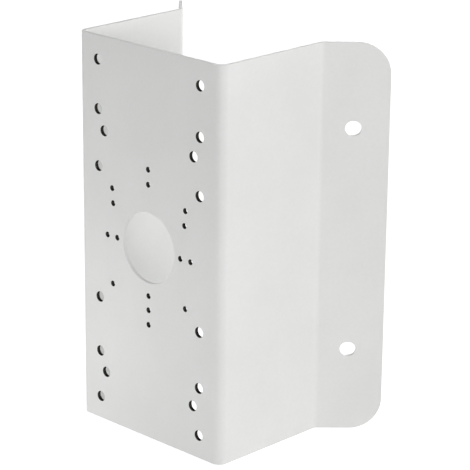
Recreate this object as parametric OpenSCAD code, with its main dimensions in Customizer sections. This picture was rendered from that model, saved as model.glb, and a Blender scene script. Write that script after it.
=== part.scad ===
// Corner mount bracket for a security camera, folded from one sheet of steel.
// The plate carries the camera, the two side walls stand it off the building,
// and the flanges lie on the two outside walls that meet at the corner.
// Origin: centre of the cable opening, on the front face of the plate.
// +X runs across the plate, -Y points out of its front face and +Z is up.

/* [Sheet] */
// Thickness of the coated sheet
sheet_t = 2.5; // [1.5:0.1:3]
// Radius inside every fold
fold_r = 3.5; // [1:0.5:6]
// Height of the bracket, along its folds
height = 250; // [232:1:400]

/* [Plate and side walls] */
// Width of the plate over the outside of the side walls
plate_w = 124; // [112:1:200]
// Depth from the front face to the corner line of the rear fold
wall_depth = 85.5; // [20:0.5:160]

/* [Flanges] */
// Angle of the building's corner that the two flanges fit
corner_angle = 90; // [70:1:120]
// Width of a flange from the corner line of its fold to its free edge
flange_w = 41.5; // [28:0.5:80]
// Radius of the flange's free corners
flange_corner_r = 20; // [2:1:36]
// Width of a fixing slot, across its length
slot_w = 9; // [4:0.5:14]
// Length of a fixing slot, end to end across the flange
slot_l = 10; // [9.5:0.5:24]
// Distance from the corner line of the fold to the middle of the slots
slot_in = 19.5; // [10:0.5:30]
// Height between the upper and the lower slot
slot_spacing = 143; // [60:1:190]

/* [Cable opening] */
// Diameter of the cable opening
cable_d = 45; // [20:1:50]

/* [Large screw holes] */
// Diameter of a large hole, the tapping size for an M8 screw
large_d = 6.8; // [4:0.1:8.5]
// Distance across the plate between the two columns
column_spacing = 88; // [72:1:96]
// Distance of the outermost rows from the top and bottom edges
outer_row_edge = 15; // [8:0.5:17]
// Height between the middle rows
middle_rows = 158; // [120:1:180]
// Height between the innermost rows
inner_rows = 85.5; // [70:0.5:110]
// Distance across the plate between the set-in holes
set_in_spacing = 77.5; // [70:0.5:84]
// Height between the set-in rows
set_in_rows = 158; // [150:1:166]
// Drop of the set-in rows below the middle of the plate
set_in_drop = 13; // [8:0.5:22]

/* [Small screw holes] */
// Diameter of a small hole, the tapping size for an M4 screw
small_d = 3.3; // [2:0.1:4.2]
// Width of the four-hole square
square_w = 64; // [52:1:74]
// Height of the four-hole square
square_h = 62; // [58:1:66]
// Width of the pair inside the top of the square
top_pair_w = 62.5; // [56:0.5:76]
// Rise of that pair above the middle of the plate
top_pair_rise = 21.5; // [8:0.5:25]
// Width of the near pair level with the cable opening
near_pair_w = 55.5; // [52:0.5:64]
// Width of the far pair level with the cable opening
far_pair_w = 73; // [69:0.5:78]
// Height of the near pair on the upright centre line
near_pair_h = 80.5; // [74:0.5:90]
// Height of the far pair on the upright centre line
far_pair_h = 99.5; // [92:0.5:130]

/* [Hidden] */
$fn = 96;

// Angle that each side wall is folded back from the plate
wall_turn = 90;
// Angle that each flange is folded out of the line of its side wall
flange_turn = corner_angle / 2;
// Radius outside every fold
fold_outer_r = fold_r + sheet_t;
// Length that a fold takes from its corner line, outside and inside the fold
outer_setback = fold_outer_r * tan(wall_turn / 2);
inner_setback = fold_r * tan(flange_turn / 2);
// Flat widths left between the folds
plate_flat = plate_w - 2 * outer_setback;
wall_flat = wall_depth - outer_setback - inner_setback;
flange_flat = flange_w - inner_setback;
// Height between the outermost rows
outer_rows = height - 2 * outer_row_edge;
// How much the stretched sheet is thinner on each face of a fold
fold_thinning = 0.005;
// Angle by which a fold runs on into the flat sheet at either end
fold_lap = 0.5;
// Extra length of strips and folds at each end, before they are trimmed
trim = 10;
strip_height = height + 2 * trim;

// Puts a copy of its children at each end of a line across the sheet
module pair_across(spacing) {
    for (x = [-spacing / 2, spacing / 2]) translate([x, 0]) children();
}

// Puts a copy of its children at each end of an upright line
module pair_upright(spacing) {
    for (y = [-spacing / 2, spacing / 2]) translate([0, y]) children();
}

// Puts a copy of its children at the four corners of a rectangle
module four_corners(w, h) {
    pair_across(w) pair_upright(h) children();
}

// Large holes: three rectangles on two columns, and a fourth set in and lower
module large_holes() {
    for (rows = [outer_rows, middle_rows, inner_rows])
        four_corners(column_spacing, rows) circle(d = large_d);
    translate([0, -set_in_drop])
        four_corners(set_in_spacing, set_in_rows) circle(d = large_d);
}

// Small holes: the screw patterns of light cameras, around the cable opening
module small_holes() {
    four_corners(square_w, square_h) circle(d = small_d);
    translate([0, -square_h / 2]) circle(d = small_d);
    translate([0, top_pair_rise]) pair_across(top_pair_w) circle(d = small_d);
    for (spacing = [near_pair_w, far_pair_w]) pair_across(spacing) circle(d = small_d);
    for (spacing = [near_pair_h, far_pair_h]) pair_upright(spacing) circle(d = small_d);
}

// Cut-outs of the plate: the cable opening and all the screw holes
module plate_cuts() {
    circle(d = cable_d);
    large_holes();
    small_holes();
}

// What is cut from a flange's upper free corner to round it
module corner_cut() {
    translate([flange_flat - flange_corner_r, height / 2 - flange_corner_r])
        difference() {
            square(2 * flange_corner_r);
            circle(r = flange_corner_r);
        }
}

// A slot with round ends, lying across the flange
module slot() {
    pair_across(slot_l - slot_w) circle(d = slot_w);
    square([slot_l - slot_w, slot_w], center = true);
}

// Cut-outs of a flange: its two rounded corners and its two slots
module flange_cuts() {
    corner_cut();
    mirror([0, 1]) corner_cut();
    translate([slot_in - inner_setback, 0]) pair_upright(slot_spacing) slot();
}

// Turns a flat outline into a cutter that goes right through upright sheet
module through_sheet() {
    translate([0, 2 * sheet_t, 0])
        rotate([90, 0, 0])
            linear_extrude(3 * sheet_t) children();
}

// A strip of upright sheet, its front face at y = 0
module strip(width) {
    translate([0, 0, -strip_height / 2]) cube([width, sheet_t, strip_height]);
}

// A fold around the z axis, from one direction on, with the hollow side inwards
module fold(turn, from) {
    translate([0, 0, -strip_height / 2])
        rotate_extrude(angle = turn + 2 * fold_lap, start = from - fold_lap)
            translate([fold_r + fold_thinning, 0])
                square([sheet_t - 2 * fold_thinning, strip_height]);
}

// Moves its children past a fold that turns away from the sheet's front face
module past_fold_back(turn) {
    translate([0, fold_outer_r, 0]) rotate(turn)
        translate([0, -fold_outer_r, 0]) children();
}

// Moves its children past a fold that turns towards the sheet's front face
module past_fold_out(turn) {
    translate([0, -fold_r, 0]) rotate(-turn)
        translate([0, fold_r, 0]) children();
}

// Moves its children to the start of the right side wall's flat part
module on_side_wall() {
    translate([plate_flat / 2, 0, 0]) past_fold_back(wall_turn) children();
}

// Moves its children to the start of the right flange's flat part
module on_flange() {
    on_side_wall() translate([wall_flat, 0, 0]) past_fold_out(flange_turn) children();
}

// Right half of the folded sheet, before it is trimmed and cut
module folded_half() {
    strip(plate_flat / 2);
    translate([plate_flat / 2, fold_outer_r, 0]) fold(wall_turn, from = -90);
    on_side_wall() {
        strip(wall_flat);
        translate([wall_flat, -fold_r, 0]) fold(flange_turn, from = 90 - flange_turn);
    }
    on_flange() strip(flange_flat);
}

// Everything within the bracket's height
module height_band() {
    reach = plate_w + wall_depth + flange_w;
    cube([2 * reach, 2 * reach, height], center = true);
}

// The whole bracket, one piece of powder-coated sheet steel
module bracket() {
    color([0.93, 0.93, 0.91]) difference() {
        intersection() {
            union() {
                folded_half();
                mirror([1, 0, 0]) folded_half();
            }
            height_band();
        }
        through_sheet() plate_cuts();
        on_flange() through_sheet() flange_cuts();
        mirror([1, 0, 0]) on_flange() through_sheet() flange_cuts();
    }
}

bracket();
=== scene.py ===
# %% [markdown]
# # A folded corner mount bracket
#
# The object is one sheet of steel, cut flat, folded along four upright lines and coated white.
# The plate in the middle carries a security camera, the two side walls stand it off the building
# and the two flanges lie on the walls that meet at the building's corner.
# The CAD frame already holds the true outline, folds and holes.
# This lesson adds what the eye looks for on such a part: softly rounded coated edges, a satin
# powder coat with its fine orange peel, and the dark bare metal inside the screw holes.

# %% Load the fixed model
import math

import bmesh
import bpy
from mathutils import Matrix, Vector


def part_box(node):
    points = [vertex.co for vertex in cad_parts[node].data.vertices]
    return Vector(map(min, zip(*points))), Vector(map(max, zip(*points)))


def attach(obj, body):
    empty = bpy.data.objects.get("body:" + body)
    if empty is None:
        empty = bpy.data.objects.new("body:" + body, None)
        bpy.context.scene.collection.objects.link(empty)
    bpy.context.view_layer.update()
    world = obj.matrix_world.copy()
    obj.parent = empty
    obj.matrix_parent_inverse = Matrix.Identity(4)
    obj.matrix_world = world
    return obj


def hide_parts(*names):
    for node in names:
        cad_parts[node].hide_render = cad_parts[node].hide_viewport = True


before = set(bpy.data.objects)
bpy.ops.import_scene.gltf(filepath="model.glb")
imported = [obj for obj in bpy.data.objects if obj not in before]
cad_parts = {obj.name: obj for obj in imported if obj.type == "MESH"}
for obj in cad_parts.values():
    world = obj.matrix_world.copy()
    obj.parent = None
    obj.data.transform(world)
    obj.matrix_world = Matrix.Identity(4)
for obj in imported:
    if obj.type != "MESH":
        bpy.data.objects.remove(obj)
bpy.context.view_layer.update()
for name in ("Cube", "Light", "Camera"):
    if name in bpy.data.objects:
        bpy.data.objects.remove(bpy.data.objects[name])
print("CAD nodes:", sorted(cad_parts))

# %% [markdown]
# ## The sheet as bent metal
#
# The frame's mesh is a heap of loose triangles with knife-sharp edges.
# Real sheet edges are deburred and then buried in powder coat, so light catches them
# as a soft line.
# The sheet could be modelled again from a cube, but its sixteen large and fifteen small holes are
# already in their places, so a copy of the frame's mesh is the better start.
# Welding closes the triangles into one skin, and a limited dissolve turns each flat side
# back into one clean face, so that the bevel later meets no stray edges.

# %% Copy the sheet and weld its skin
MM = 0.001
WELD = 0.02 * MM
FLAT = math.radians(0.6)

bracket_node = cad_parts["bracket"]
bpy.ops.object.select_all(action="DESELECT")
bracket_node.select_set(True)
bpy.context.view_layer.objects.active = bracket_node
bpy.ops.object.duplicate()
sheet = bpy.context.active_object
sheet.name = "folded_sheet"
sheet.parent = None
bpy.ops.object.mode_set(mode="EDIT")
bpy.ops.mesh.select_all(action="SELECT")
bpy.ops.mesh.customdata_custom_splitnormals_clear()
bpy.ops.mesh.remove_doubles(threshold=WELD)
bpy.ops.mesh.dissolve_limited(angle_limit=FLAT)
bpy.ops.object.mode_set(mode="OBJECT")
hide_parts("bracket")
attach(sheet, "root")
print("welded sheet:", len(sheet.data.vertices), "points,", len(sheet.data.polygons), "faces")

# %% [markdown]
# ## Finer arcs
#
# The frame draws each arc with steps of about nine degrees. That is exact enough to measure with,
# but a large corner then shows its steps against a white background.
# A subdivision surface would round the sharp edges as well, so only the arcs are worked on:
# their edges are found by distance from the arc's axis, cut into four and pushed out
# to the true radius.
# A large flat face is cut into well-shaped triangles first. Otherwise an inner edge that leaves
# the arc nearly along it would be crossed by the points that move out.
# The sizes are the part's own, in millimetres.

# %% Push new points out to the true radius
RIM_TURN = math.radians(30)
OPENING_R = 22.5
FOLD_AXES = ((56, 6), (65.5, 84.05))
FOLD_RADII = (3.505, 5.995)
CORNER_AXIS = (77.203, 100.703, 105)
CORNER_R = 20


def finer_arc(axis, through, radii, cuts=3):
    """Cuts the steps of all arcs about one axis line and puts the new points on their radius."""
    axis, through = Vector(axis).normalized(), Vector(through) * MM

    def from_axis(point):
        offset = point - through
        return offset - offset.dot(axis) * axis

    bpy.ops.mesh.select_all(action="DESELECT")
    skin = bmesh.from_edit_mesh(sheet.data)
    for edge in skin.edges:
        run = edge.verts[1].co - edge.verts[0].co
        reach = [from_axis(v.co).length for v in edge.verts]
        for r in radii:
            on_arc = all(abs(d - r * MM) < WELD for d in reach) and run.length < r * MM / 3
            on_rim = abs(run.dot(axis)) < WELD and edge.calc_face_angle(0) > RIM_TURN
            if on_arc and on_rim:
                edge.select_set(True)
    steps = sum(edge.select for edge in skin.edges)
    old_points = len(skin.verts)
    bpy.ops.mesh.subdivide(number_cuts=cuts)
    skin = bmesh.from_edit_mesh(sheet.data)
    for point in list(skin.verts)[old_points:]:
        offset = from_axis(point.co)
        r = min(radii, key=lambda one: abs(one * MM - offset.length)) * MM
        point.co += offset * (r / offset.length - 1)
    bmesh.update_edit_mesh(sheet.data)
    return steps


bpy.ops.object.mode_set(mode="EDIT")
bpy.ops.mesh.select_mode(type="FACE")
bpy.ops.mesh.select_face_by_sides(number=4, type="GREATER", extend=False)
bpy.ops.mesh.quads_convert_to_tris(ngon_method="BEAUTY")
bpy.ops.mesh.beautify_fill(angle_limit=FLAT)
bpy.ops.mesh.select_mode(type="EDGE")
steps = finer_arc((0, 1, 0), (0, 0, 0), (OPENING_R,))
for side in (-1, 1):
    for x, y in FOLD_AXES:
        steps += finer_arc((0, 0, 1), (side * x, y, 0), FOLD_RADII)
    for end in (-1, 1):
        x, y, z = CORNER_AXIS
        steps += finer_arc((side, -1, 0), (side * x, y, end * z), (CORNER_R,))
bpy.ops.mesh.select_all(action="SELECT")
bpy.ops.mesh.dissolve_limited(angle_limit=FLAT)
bpy.ops.object.mode_set(mode="OBJECT")
print("arc steps cut into four:", steps)

# %% [markdown]
# ## Where the screw holes are
#
# The holes were punched and then kept free of paint, because screws must pass through them.
# To give their walls another finish, the walls have to be found among all the faces.
# Selecting them by hand would work once. Selecting them by place works every time:
# a face belongs to a screw hole if it lies in the thickness of the plate, looks sideways
# and sits at the hole's radius from the hole's centre.
# Spacings and pairs below are in millimetres, as width and height or as span and rise.

# %% Centres of the plate's screw holes
LARGE_R = 3.4 * MM
SMALL_R = 1.65 * MM
PLATE_T = 2.5 * MM
COLUMNS, ROWS_APART = 88, (220, 158, 85.5)
SET_IN, SET_IN_DROP = (77.5, 158), 13
SQUARE = (64, 62)
LEVEL_PAIRS = ((62.5, 21.5), (55.5, 0), (73, 0))
UPRIGHT_PAIRS = (80.5, 99.5)


def four_corners(width, height, drop=0.0):
    """Centres of four holes on a rectangle, in metres on the plate."""
    return [(sx * width / 2 * MM, (sz * height / 2 - drop) * MM)
            for sx in (-1, 1) for sz in (-1, 1)]


large_centres = []
for height in ROWS_APART:
    large_centres += four_corners(COLUMNS, height)
large_centres += four_corners(*SET_IN, drop=SET_IN_DROP)

small_centres = four_corners(*SQUARE) + [(0.0, -SQUARE[1] / 2 * MM)]
for span, rise in LEVEL_PAIRS:
    small_centres += [(-span / 2 * MM, rise * MM), (span / 2 * MM, rise * MM)]
for span in UPRIGHT_PAIRS:
    small_centres += [(0.0, -span / 2 * MM), (0.0, span / 2 * MM)]
screw_holes = [(x, z, LARGE_R) for x, z in large_centres]
screw_holes += [(x, z, SMALL_R) for x, z in small_centres]
print("screw holes:", len(large_centres), "large and", len(small_centres), "small")

# %% [markdown]
# ## One function for nodes, one for colours
#
# Blender mixes light in linear numbers, while a colour given here is an sRGB code.
# A code that is typed in without being turned to linear comes out washed out,
# so every colour in this lesson passes through the same function.
# The second helper adds any node to a material: its settings, its socket values and its links
# stand together in one call, which keeps the order of the nodes readable.

# %% Helpers for colours and nodes
def linear(code):
    """Linear RGBA of an sRGB code such as "c0ffee"."""
    channels = [int(code[i:i + 2], 16) / 255 for i in (0, 2, 4)]
    return [c / 12.92 if c <= 0.04045 else ((c + 0.055) / 1.055) ** 2.4 for c in channels] + [1.0]


def add_node(tree, kind, settings=None, values=None, links=None):
    """Adds a node, sets its options and socket values, and links other nodes' sockets into it."""
    node = tree.nodes.new(kind)
    for name, value in (settings or {}).items():
        setattr(node, name, value)
    for socket, value in (values or {}).items():
        node.inputs[socket].default_value = value
    for socket, source in (links or {}).items():
        tree.links.new(source, node.inputs[socket])
    return node


def new_tree(name):
    """An empty material of that name and its node tree."""
    material = bpy.data.materials.new(name)
    material.use_nodes = True
    material.node_tree.nodes.clear()
    return material, material.node_tree


print("linear value of mid grey 808080:", round(linear("808080")[0], 3))

# %% [markdown]
# ## White powder coat
#
# Powder coat is plastic dust that melts on the hot steel. It never flows quite flat:
# the skin keeps shallow waves a millimetre or two wide, the orange peel, and on a fine-textured
# coat a grain of a few tenths of a millimetre lies on top.
# Colour hardly changes over such a coat. What gives it away is how the gloss breaks up,
# so most of the work goes into bump and roughness, and the colour only drifts by a hair.
# The pattern follows object coordinates, which are real metres here: a scale of 1 / 0.0016
# makes waves of 1.6 mm, whatever the size of the picture.

# %% Powder-coated steel: a satin, slightly uneven white skin
coat, tree = new_tree("powder_coated_steel")
place = add_node(tree, "ShaderNodeTexCoord")
drift = add_node(tree, "ShaderNodeTexNoise",
                 values={"Scale": 1 / 0.045, "Detail": 3.0, "Roughness": 0.5},
                 links={"Vector": place.outputs["Object"]})
speck = add_node(tree, "ShaderNodeTexNoise", values={"Scale": 1 / 0.0021, "Detail": 2.0},
                 links={"Vector": place.outputs["Object"]})
peel = add_node(tree, "ShaderNodeTexNoise", values={"Scale": 1 / 0.0016, "Detail": 1.0},
                links={"Vector": place.outputs["Object"]})
grain = add_node(tree, "ShaderNodeTexNoise", values={"Scale": 1 / 0.00035, "Detail": 1.5},
                 links={"Vector": place.outputs["Object"]})
blend_of_noise = add_node(tree, "ShaderNodeMix", {"data_type": "FLOAT"}, {"Factor": 0.35},
                          {"A": drift.outputs["Fac"], "B": speck.outputs["Fac"]})
tint = add_node(tree, "ShaderNodeValToRGB", links={"Fac": blend_of_noise.outputs["Result"]})
tint.color_ramp.elements[0].position = 0.34
tint.color_ramp.elements[0].color = linear("e3e4e2")
tint.color_ramp.elements[1].position = 0.66
tint.color_ramp.elements[1].color = linear("e8e8e7")
gloss = add_node(tree, "ShaderNodeMapRange",
                 values={"From Min": 0.3, "From Max": 0.7, "To Min": 0.40, "To Max": 0.54},
                 links={"Value": speck.outputs["Fac"]})
waves = add_node(tree, "ShaderNodeBump", values={"Strength": 1.0, "Distance": 0.000014},
                 links={"Height": peel.outputs["Fac"]})
texture = add_node(tree, "ShaderNodeBump", values={"Strength": 1.0, "Distance": 0.000005},
                   links={"Height": grain.outputs["Fac"], "Normal": waves.outputs["Normal"]})
shader = add_node(tree, "ShaderNodeBsdfPrincipled", values={"IOR": 1.5, "Metallic": 0.0},
                  links={"Base Color": tint.outputs["Color"], "Roughness": gloss.outputs["Result"],
                         "Normal": texture.outputs["Normal"]})
add_node(tree, "ShaderNodeOutputMaterial", links={"Surface": shader.outputs["BSDF"]})
print("powder coat nodes:", len(tree.nodes))

# %% [markdown]
# ## Bare metal inside the screw holes
#
# In the photograph each screw hole shows a nearly black sliver of wall, much darker than shade
# on white paint could be. Threads are kept free of coat, because it would jam the screw,
# so what shows there is oiled steel.
# It is a metal, but a dark and dull one: the oil and the tool's scratches spread its gloss.
# Its colour is set darker than bare steel, as painted shade of the narrow holes, and its grooves
# are painted nearly black, as painted shade in the thread, while the crests keep the worn steel
# colour.
# Where a point lies between crest and groove is known only once the thread is cut, so the cutting
# writes it into an attribute named groove, and the material reads it.

# %% Bare steel: darkened as painted shade of the holes, with painted shade near black in the grooves
bare, tree = new_tree("bare_steel_with_painted_shade")
place = add_node(tree, "ShaderNodeTexCoord")
stain = add_node(tree, "ShaderNodeTexNoise", values={"Scale": 1 / 0.0013, "Detail": 3.0},
                 links={"Vector": place.outputs["Object"]})
scratch = add_node(tree, "ShaderNodeTexNoise", values={"Scale": 1 / 0.0002, "Detail": 2.0},
                   links={"Vector": place.outputs["Object"]})
groove = add_node(tree, "ShaderNodeAttribute",
                  {"attribute_type": "GEOMETRY", "attribute_name": "groove"})
# Both steel colours are set darker than bare steel: painted shade of the narrow holes over the
# steel's own stains.
crest = add_node(tree, "ShaderNodeValToRGB", links={"Fac": stain.outputs["Fac"]})
crest.color_ramp.elements[0].position = 0.3
crest.color_ramp.elements[0].color = linear("282523")
crest.color_ramp.elements[1].position = 0.7
crest.color_ramp.elements[1].color = linear("524e4a")
# Deeper in the groove the colour goes towards near black: painted shade in the thread grooves.
steel_and_painted_groove_shade = add_node(tree, "ShaderNodeMix", {"data_type": "RGBA"},
                links={"Factor": groove.outputs["Fac"], "A": crest.outputs["Color"]})
steel_and_painted_groove_shade.inputs["B"].default_value = linear("0b0a0a")
scuffs = add_node(tree, "ShaderNodeBump", values={"Strength": 1.0, "Distance": 0.00001},
                  links={"Height": scratch.outputs["Fac"]})
worn = add_node(tree, "ShaderNodeMapRange", values={"To Min": 0.42, "To Max": 0.6},
                links={"Value": stain.outputs["Fac"]})
shader = add_node(tree, "ShaderNodeBsdfPrincipled", values={"Metallic": 0.85, "IOR": 1.5},
                  links={"Base Color": steel_and_painted_groove_shade.outputs["Result"], "Roughness": worn.outputs["Result"],
                         "Normal": scuffs.outputs["Normal"]})
add_node(tree, "ShaderNodeOutputMaterial", links={"Surface": shader.outputs["BSDF"]})
print("bare steel nodes:", len(tree.nodes))

# %% [markdown]
# ## Coat outside, bare steel in the holes
#
# One mesh can carry several materials: each face holds the number of the slot that it takes.
# The alternative, a separate object for the hole walls, would leave a seam at each rim.
# The first slot is the coat, which every face gets, and the second is the bare steel
# for the faces that lie on the wall of a screw hole.

# %% Give the hole walls their own slot
ON_WALL = 0.1 * MM

sheet.data.materials.clear()
sheet.data.materials.append(coat)
sheet.data.materials.append(bare)


def hole_around(point):
    """The screw hole (x, z, radius) whose wall a point lies on, or None."""
    for x, z, r in screw_holes:
        if abs(math.hypot(point.x - x, point.z - z) - r) < ON_WALL:
            return x, z, r
    return None


for face in sheet.data.polygons:
    on_wall = abs(face.normal.y) < 0.1 and ON_WALL < face.center.y < PLATE_T - ON_WALL
    face.material_index = 1 if on_wall and hole_around(face.center) else 0
wall_faces = sum(face.material_index for face in sheet.data.polygons)
print("faces on screw-hole walls:", wall_faces)

# %% [markdown]
# ## Edges that the coat has rounded
#
# A punched sheet edge is broken with a belt or brush, and the powder then builds up over it.
# Together that makes a radius of a few tenths of a millimetre. It is too small to see as a shape,
# but it softens the line along every edge and tells the eye how thick the sheet is.
# The screw holes are left out, because their threads were cut after that.
# Edges are found by their angle: the outline turns by 90 degrees, and one step of a fold
# by no more than a few.

# %% Bevel the sheet's edges, but not the rims of the screw holes
EDGE_R = 0.25 * MM
SHARP = math.radians(30)

bpy.ops.object.select_all(action="DESELECT")
sheet.select_set(True)
bpy.context.view_layer.objects.active = sheet
bpy.ops.object.mode_set(mode="EDIT")
bpy.ops.mesh.select_mode(type="EDGE")
bpy.ops.mesh.select_all(action="DESELECT")
bpy.ops.mesh.edges_select_sharp(sharpness=SHARP)
skin = bmesh.from_edit_mesh(sheet.data)
for edge in skin.edges:
    if any(face.material_index == 1 for face in edge.link_faces):
        edge.select_set(False)
skin.select_flush_mode()
bmesh.update_edit_mesh(sheet.data)
print("edges to round:", sum(edge.select for edge in skin.edges))
bpy.ops.mesh.bevel(offset=EDGE_R, segments=3, affect="EDGES", clamp_overlap=False,
                   loop_slide=False, material=0)
bpy.ops.object.mode_set(mode="OBJECT")

# %% [markdown]
# ## A lead-in for the small screws
#
# A drill a little wider than the hole breaks the front rim, so that the thin tap and later
# the screw find their way in. It cuts through the coat, and the bare ring makes each small hole
# look darker and wider than its bore.
# The same bevel tool does it with one segment, and its faces take the bare steel.

# %% Chamfer the front rims of the small screw holes
LEAD_IN = 0.2 * MM

bpy.ops.object.mode_set(mode="EDIT")
bpy.ops.mesh.select_mode(type="EDGE")
bpy.ops.mesh.select_all(action="DESELECT")
skin = bmesh.from_edit_mesh(sheet.data)
for edge in skin.edges:
    on_rim = {face.material_index for face in edge.link_faces} == {0, 1}
    in_front = max(v.co.y for v in edge.verts) < PLATE_T / 2
    if on_rim and in_front and hole_around(edge.verts[0].co)[2] == SMALL_R:
        edge.select_set(True)
bmesh.update_edit_mesh(sheet.data)
print("rim edges to chamfer:", sum(edge.select for edge in skin.edges))
bpy.ops.mesh.bevel(offset=LEAD_IN, segments=1, affect="EDGES", clamp_overlap=False,
                   loop_slide=False, material=1)
bpy.ops.object.mode_set(mode="OBJECT")

# %% [markdown]
# ## Threads
#
# The dark slivers are striped, as the flanks of a screw thread are, and the holes have the sizes
# that are drilled before M8 and M4 threads are tapped. So the walls get real threads.
# A thread is a groove that climbs by one pitch for each turn. A boolean with a long spiral
# would be slow for 31 holes. Cutting each wall into thin rows and pushing the points outward
# by their height and angle gives the same groove, and the rims stay where they are.

# %% Cut thread grooves into the walls of the screw holes
THREAD_PITCH = {LARGE_R: 1.25 * MM, SMALL_R: 0.7 * MM}
THREAD_DEPTH = {LARGE_R: 0.55 * MM, SMALL_R: 0.32 * MM}
ROWS = {LARGE_R: 12, SMALL_R: 20}
THROUGH = 2 * MM
RIM = 0.01 * MM

for r in (LARGE_R, SMALL_R):
    bpy.ops.object.mode_set(mode="EDIT")
    bpy.ops.mesh.select_all(action="DESELECT")
    skin = bmesh.from_edit_mesh(sheet.data)
    for edge in skin.edges:
        on_wall = all(face.material_index == 1 for face in edge.link_faces)
        if on_wall and abs(edge.verts[0].co.y - edge.verts[1].co.y) > THROUGH:
            edge.select_set(hole_around(edge.verts[0].co)[2] == r)
    bpy.ops.mesh.subdivide(number_cuts=ROWS[r] - 1)
    skin = bmesh.from_edit_mesh(sheet.data)
    groove_layer = skin.verts.layers.float.get("groove") or skin.verts.layers.float.new("groove")
    for point in skin.verts:
        hole = hole_around(point.co)
        if hole is None or hole[2] != r or not RIM < point.co.y < PLATE_T - RIM:
            continue
        x, z, _ = hole
        turn = math.atan2(point.co.z - z, point.co.x - x) / math.tau
        height = (point.co.y / THREAD_PITCH[r] + turn) % 1
        outward = Vector((point.co.x - x, 0, point.co.z - z)).normalized()
        # The stored groove depth is what later paints shade into the grooves in the bare steel's
        # colour.
        point[groove_layer] = 1 - abs(2 * height - 1)
        point.co += outward * THREAD_DEPTH[r] * point[groove_layer]
    bmesh.update_edit_mesh(sheet.data)
    bpy.ops.object.mode_set(mode="OBJECT")
print("sheet with threads:", len(sheet.data.vertices), "points,", len(sheet.data.polygons), "faces")

# %% [markdown]
# ## Shading of flats and folds
#
# Smooth shading blends the direction of neighbouring faces. Next to a fold that would bend
# the light across the whole flat side. Weighted normals let the biggest face at each point decide,
# so flats stay flat and only the folds and the rounded edges carry the turn.

# %% Shade the sheet
SMOOTH_UP_TO = math.radians(40)

bpy.ops.object.select_all(action="DESELECT")
sheet.select_set(True)
bpy.ops.object.shade_smooth_by_angle(angle=SMOOTH_UP_TO)
weights = sheet.modifiers.new("flat_sides_stay_flat", "WEIGHTED_NORMAL")
weights.keep_sharp = True
weights.weight = 100
bpy.ops.object.modifier_apply(modifier=weights.name)
print("normals weighted by face area")

# %% [markdown]
# ## Floor
#
# The bracket stands upright on a white table that runs far behind it, so the floor
# is also the background.
# For the camera the floor glows a little on top of the light that falls on it.
# That lifts it to paper white, and the bracket's soft shadow still shows because only
# the lit share of it goes dark. Light paths do this: the glow is switched on for rays that come
# from the camera or a mirror-like surface, and it adds no light to the bracket.

# %% White table under the bracket
FLOOR_GLOW = 0.64
TABLE_SIDE = 12

low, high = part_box("bracket")
bpy.ops.object.select_all(action="DESELECT")
bpy.ops.mesh.primitive_plane_add(size=TABLE_SIDE, location=(0, 0, low[2]))
table = bpy.context.active_object
table.name = "white_table"
paper, tree = new_tree("white_table_top")
path = add_node(tree, "ShaderNodeLightPath")
seen = add_node(tree, "ShaderNodeMath", {"operation": "MAXIMUM"},
                links={0: path.outputs["Is Camera Ray"], 1: path.outputs["Is Glossy Ray"]})
seen = add_node(tree, "ShaderNodeMath", {"operation": "MAXIMUM"},
                links={0: seen.outputs[0], 1: path.outputs["Is Transmission Ray"]})
glow = add_node(tree, "ShaderNodeMath", {"operation": "MULTIPLY"}, {1: FLOOR_GLOW},
                {0: seen.outputs[0]})
shader = add_node(tree, "ShaderNodeBsdfPrincipled",
                  values={"Base Color": linear("f0f0f0"), "Roughness": 0.9,
                          "Specular IOR Level": 0.1, "Emission Color": (1, 1, 1, 1)},
                  links={"Emission Strength": glow.outputs[0]})
add_node(tree, "ShaderNodeOutputMaterial", links={"Surface": shader.outputs["BSDF"]})
table.data.materials.append(paper)
print("table top at z =", round(low[2], 4), "m")

# %% [markdown]
# ## Light
#
# The side wall on the right is the brightest face and the plate is a step darker. The inside of the
# far side wall is nearly as bright as the outside of the near one, so light also comes from behind
# and fills the channel. The top edges of the sheet are dull, so little light comes from above.
# Four wide soft lights stand for the studio's big panels, all at table height: beside the bracket,
# in front of its corner, and two behind it. Two small low lamps do the work of the bright table
# in front of the plate and of the flange, and an even white room fills the rest.
# All of it adds up to about the level at which a colour shows as it was written.

# %% An even white room
ROOM_LEVEL = 0.42

world = bpy.data.worlds.new("white_room")
bpy.context.scene.world = world
world.use_nodes = True
world.node_tree.nodes.clear()
path = add_node(world.node_tree, "ShaderNodeLightPath")
seen = add_node(world.node_tree, "ShaderNodeMath", {"operation": "MAXIMUM"},
                links={0: path.outputs["Is Camera Ray"], 1: path.outputs["Is Transmission Ray"]})
level = add_node(world.node_tree, "ShaderNodeMapRange",
                 values={"To Min": ROOM_LEVEL, "To Max": 1.0}, links={"Value": seen.outputs[0]})
room = add_node(world.node_tree, "ShaderNodeBackground", values={"Color": (1, 1, 1, 1)},
                links={"Strength": level.outputs["Result"]})
add_node(world.node_tree, "ShaderNodeOutputWorld", links={"Surface": room.outputs["Background"]})
print("room level:", ROOM_LEVEL)


# %% Four wide panels and two low lamps
PANEL_SPREAD = math.radians(30)
LAMP_SIZE = (0.26, 0.04)


def aim(lamp, target):
    """Turns a lamp so that it shines from where it is towards a point."""
    lamp.rotation_euler = (Vector(target) - lamp.location).to_track_quat("-Z", "Y").to_euler()


for name, place, strength in (("side_panel", (1.0, 0.5, 0.06), 1.27),
                              ("front_panel", (1.0, -1.0, 0.06), 1.22),
                              ("rear_right_panel", (0.3, 1.0, 0.06), 0.70),
                              ("rear_left_panel", (-0.6, 1.0, 0.06), 2.10)):
    bpy.ops.object.light_add(type="SUN", location=place)
    panel = bpy.context.active_object
    panel.name = name
    panel.data.energy = strength
    panel.data.angle = PANEL_SPREAD
    aim(panel, (0, 0, 0))

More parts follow.
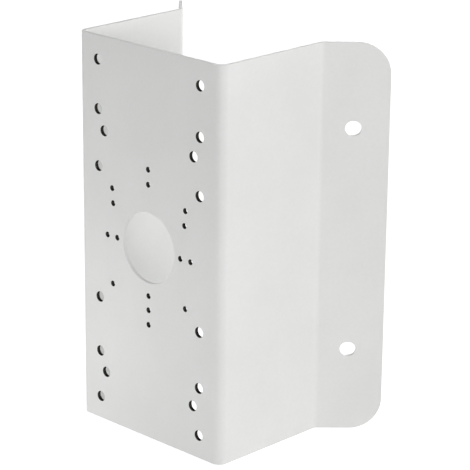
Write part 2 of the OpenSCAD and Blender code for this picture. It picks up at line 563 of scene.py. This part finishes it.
for name, place, target, watts in (
        ("low_front_lamp", (-0.13, -0.18, -0.118), (-0.04, 0.0, -0.11), 0.19),
        ("low_right_lamp", (0.27, -0.10, -0.118), (0.08, 0.09, -0.11), 0.06)):
    bpy.ops.object.light_add(type="AREA", location=place)
    lamp = bpy.context.active_object
    lamp.name = name
    lamp.data.shape = "RECTANGLE"
    lamp.data.size, lamp.data.size_y = LAMP_SIZE
    lamp.data.energy = watts
    lamp.visible_camera = False
    lamp.visible_glossy = False
    aim(lamp, target)

# %% [markdown]
# ## Camera
#
# The photograph looks at the bracket's right front corner from above, and its uprights are
# parallel. A fit to about 120 points of the picture, such as hole centres and sheet corners,
# gave a camera with a strongly shifted lens. Such a shift would push the bracket out of
# the frame in every other view, so a plain camera was fitted to the same view instead.
# It comes within a few pixels, and its long lens lets the uprights lean together only a little.
# The turn of the camera is built from the three angles that the fit gave.

# %% Camera at the photograph's place
PHOTO_SIDE = 470
CAMERA_PLACE = Vector((0.941267, -0.889158, 0.440347))
YAW, PITCH, ROLL = -0.773262, 0.321856, 0.009484
FOCAL_PIXELS = 2250.17
SENSOR = 36

ahead = Vector((math.sin(YAW) * math.cos(PITCH), math.cos(YAW) * math.cos(PITCH),
                -math.sin(PITCH)))
level_right = Vector((math.cos(YAW), -math.sin(YAW), 0))
level_up = level_right.cross(ahead)
right = math.cos(ROLL) * level_right + math.sin(ROLL) * level_up
up = math.cos(ROLL) * level_up - math.sin(ROLL) * level_right

bpy.ops.object.camera_add(location=CAMERA_PLACE)
camera = bpy.context.active_object
camera.name = "photo_camera"
turn = Matrix((right, up, -ahead)).transposed().to_4x4()
camera.matrix_world = Matrix.Translation(CAMERA_PLACE) @ turn
camera.data.sensor_width = SENSOR
camera.data.lens = FOCAL_PIXELS * SENSOR / PHOTO_SIDE
camera.data.clip_end = 30
bpy.context.scene.camera = camera
bpy.context.scene.view_settings.view_transform = "Standard"
print("lens:", round(camera.data.lens, 1), "mm,", round(CAMERA_PLACE.length, 2), "m from the plate")
